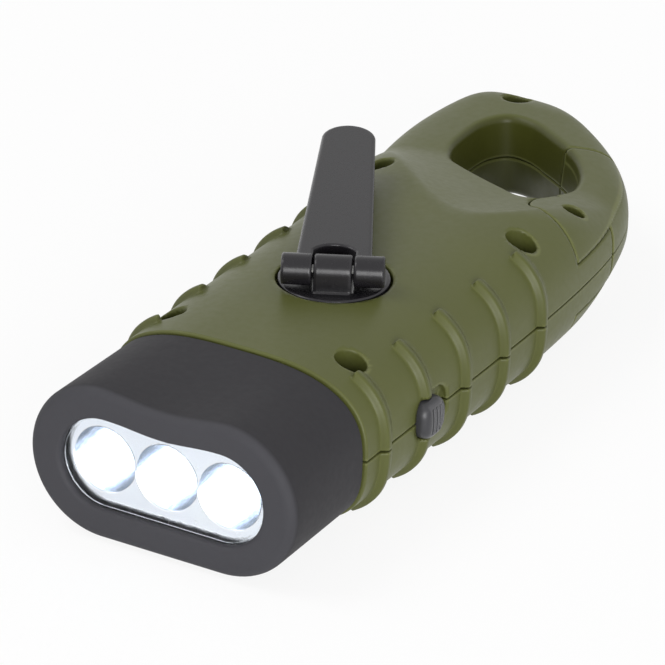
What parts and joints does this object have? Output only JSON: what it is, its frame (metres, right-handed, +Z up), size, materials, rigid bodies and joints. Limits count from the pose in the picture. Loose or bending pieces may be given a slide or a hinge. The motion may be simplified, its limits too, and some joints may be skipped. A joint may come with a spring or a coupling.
{
  "type": "hand crank flashlight",
  "caption": "Hand crank flashlight: ribbed two-part housing, rubber bezel round the lamps, folding crank arm on top and a spring gate loop at the tail.",
  "frame": {"origin": "on the flat underside, straight below the axis that the crank turns about", "axes": "+Z up, -Y the way the lamps shine, +X the side with the slide switch and the gate"},
  "size_m": [0.0513, 0.1405, 0.034],
  "materials": {
    "olive_plastic": "lightly textured satin moulding",
    "bezel_rubber": "matt black rubber",
    "black_plastic": "semi-gloss black moulding",
    "grey_plastic": "matt dark grey moulding",
    "clear_window": "clear and glossy",
    "reflector_chrome": "vacuum plated",
    "lamp_clear": "clear epoxy, lit",
    "steel": "plain zinc plated steel",
    "acetal": "natural acetal",
    "circuit_board": "green solder mask",
    "copper_winding": "enamelled wire",
    "magnet": "dark sintered magnet"
  },
  "bodies": {
    "housing": {"upper_shell": "olive_plastic", "lower_shell": "olive_plastic", "bezel": "bezel_rubber", "lens_window": "clear_window", "reflector": "reflector_chrome", "lamp_board": "circuit_board", "lamp_left": "lamp_clear", "lamp_middle": "lamp_clear", "lamp_right": "lamp_clear", "shell_screw_front_right": "steel", "shell_screw_front_left": "steel", "shell_screw_mid_right": "steel", "shell_screw_mid_left": "steel", "shell_screw_tail": "steel", "idler_axle_first": "steel", "idler_axle_second": "steel", "stator_core": "steel", "stator_coil": "copper_winding", "gear_plate": "acetal", "plate_screw_right": "steel", "plate_screw_left": "steel", "main_board": "circuit_board", "rechargeable_cell": "steel", "cell_clip": "steel", "capacitor": "magnet", "switch_body": "grey_plastic", "gate_spring": "steel"},
    "crank": {"crank_disc": "black_plastic", "crank_screw": "steel", "drive_gear": "acetal"},
    "arm": {"crank_arm": "black_plastic", "hinge_pin": "steel", "knob_screw": "steel"},
    "knob": {"crank_knob": "black_plastic"},
    "idler_first": {"idler_gear_first": "acetal"},
    "idler_second": {"idler_gear_second": "acetal"},
    "rotor": {"rotor_pinion": "acetal", "rotor_shaft": "steel", "rotor_magnet": "magnet"},
    "gate": {"gate_upper": "olive_plastic", "gate_lower": "olive_plastic", "gate_screw": "steel"},
    "switch": {"switch_slider": "grey_plastic"}
  },
  "joints": [
    {"name": "crank_spin", "type": "hinge", "parent": "housing", "child": "crank", "pos_m": [0, 0, 0.02], "axis": [0, 0, 1], "continuous": true},
    {"name": "arm_fold", "type": "hinge", "parent": "crank", "child": "arm", "pos_m": [0.00172, -0.00316, 0.0287], "axis": [0.8788, 0.4772, 0], "range_deg": [0, 175]},
    {"name": "knob_spin", "type": "hinge", "parent": "arm", "child": "knob", "pos_m": [-0.01706, 0.03142, 0.03214], "axis": [0.0416, -0.0766, 0.9962], "continuous": true},
    {"name": "idler_first_spin", "type": "hinge", "parent": "housing", "child": "idler_first", "pos_m": [0, 0.0208, 0.0128], "axis": [0, 0, 1], "continuous": true},
    {"name": "idler_second_spin", "type": "hinge", "parent": "housing", "child": "idler_second", "pos_m": [-0.00609, 0.00775, 0.0128], "axis": [0, 0, 1], "continuous": true},
    {"name": "rotor_spin", "type": "hinge", "parent": "housing", "child": "rotor", "pos_m": [-0.00009, -0.00264, 0.0128], "axis": [0, 0, 1], "continuous": true},
    {"name": "gate_swing", "type": "hinge", "parent": "housing", "child": "gate", "pos_m": [0.0153, 0.0479, 0.0128], "axis": [0, 0, 1], "range_deg": [0, 25], "stiffness_Nm_per_rad": 0.1, "springref_deg": -17.19},
    {"name": "switch_slide", "type": "slide", "parent": "housing", "child": "switch", "axis": [0, 1, 0], "range_m": [0, 0.003]}
  ],
  "couplings": [
    {"joint": "idler_first_spin", "follows": "crank_spin", "ratio": -3.3333},
    {"joint": "idler_second_spin", "follows": "crank_spin", "ratio": 10},
    {"joint": "rotor_spin", "follows": "crank_spin", "ratio": -30}
  ]
}
